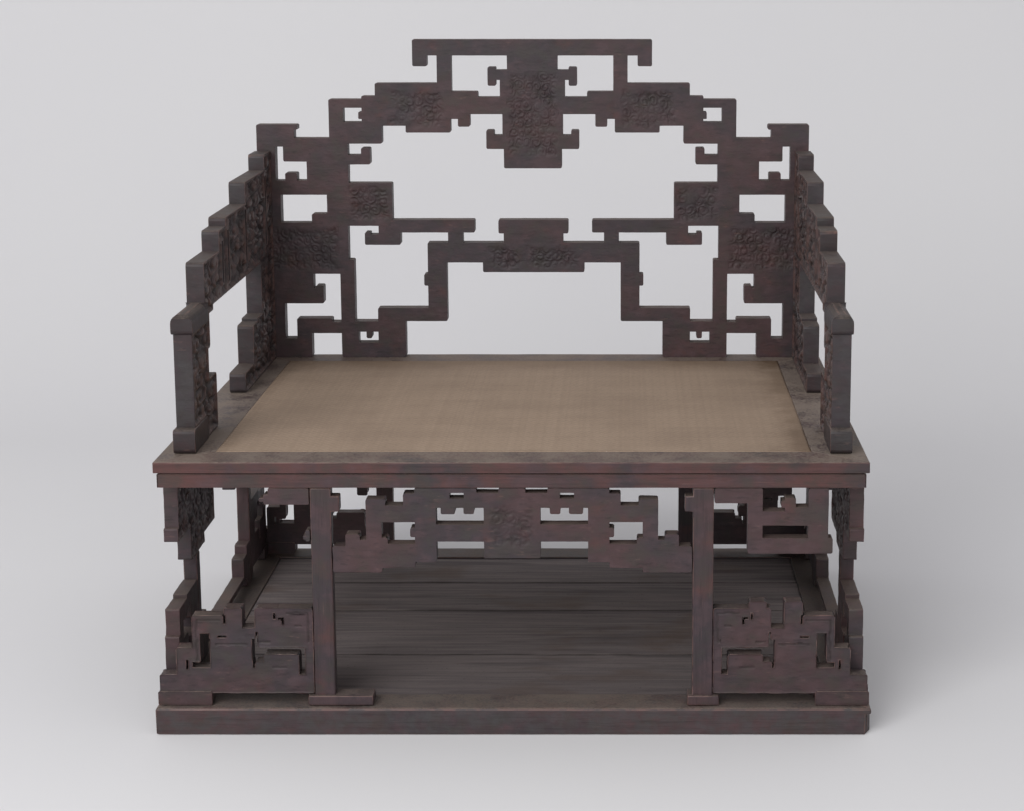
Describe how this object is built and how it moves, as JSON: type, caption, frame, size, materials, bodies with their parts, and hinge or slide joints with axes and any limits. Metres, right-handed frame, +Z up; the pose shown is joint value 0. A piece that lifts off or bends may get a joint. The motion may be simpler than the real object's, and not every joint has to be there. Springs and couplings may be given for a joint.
{
  "type": "carved throne",
  "caption": "Wide low throne of dark carved hardwood with stepped key-fret screens on three sides, a woven cane seat and an openwork base.",
  "frame": {"origin": "on the floor, under the middle of the base frame", "axes": "+Z up, +X to the right of someone facing the throne, and the front faces -Y"},
  "size_m": [1.22, 0.92, 1.1403],
  "materials": {
    "dark_wood": "dark purplish-brown hardwood, waxed and worn, with reddish rubbed edges and grey dust",
    "deck_wood": "bare weathered grey-brown softwood boards, dull",
    "woven_mat": "fine woven cane, matt, slightly stained"
  },
  "bodies": {
    "root": {"base_rail_front": "dark_wood", "base_rail_right": "dark_wood", "base_rail_rear": "dark_wood", "base_rail_left": "dark_wood", "deck_board_1": "deck_wood", "deck_board_2": "deck_wood", "deck_board_3": "deck_wood", "deck_board_4": "deck_wood", "seat_rail_front": "dark_wood", "seat_rail_right": "dark_wood", "seat_rail_rear": "dark_wood", "seat_rail_left": "dark_wood", "seat_mat": "woven_mat", "back_screen": "dark_wood", "arm_screen_left": "dark_wood", "arm_screen_right": "dark_wood", "post_front_left": "dark_wood", "post_front_right": "dark_wood", "post_rear_left": "dark_wood", "post_rear_right": "dark_wood", "post_left_front": "dark_wood", "post_left_rear": "dark_wood", "post_right_front": "dark_wood", "post_right_rear": "dark_wood", "apron_front": "dark_wood", "apron_rear": "dark_wood", "apron_end_front_right": "dark_wood", "apron_end_front_left": "dark_wood", "apron_scrap_front_left": "dark_wood", "apron_end_rear_right": "dark_wood", "apron_end_rear_left": "dark_wood", "lower_fret_front_left": "dark_wood", "lower_fret_front_right": "dark_wood", "lower_fret_rear_left": "dark_wood", "lower_fret_rear_right": "dark_wood", "bracket_left_front": "dark_wood", "bracket_left_rear": "dark_wood", "bracket_right_front": "dark_wood", "bracket_right_rear": "dark_wood", "side_fret_left_front": "dark_wood", "side_fret_left_rear": "dark_wood", "side_fret_left_middle": "dark_wood", "side_fret_right_front": "dark_wood", "side_fret_right_rear": "dark_wood", "side_fret_right_middle": "dark_wood"}
  },
  "joints": []
}
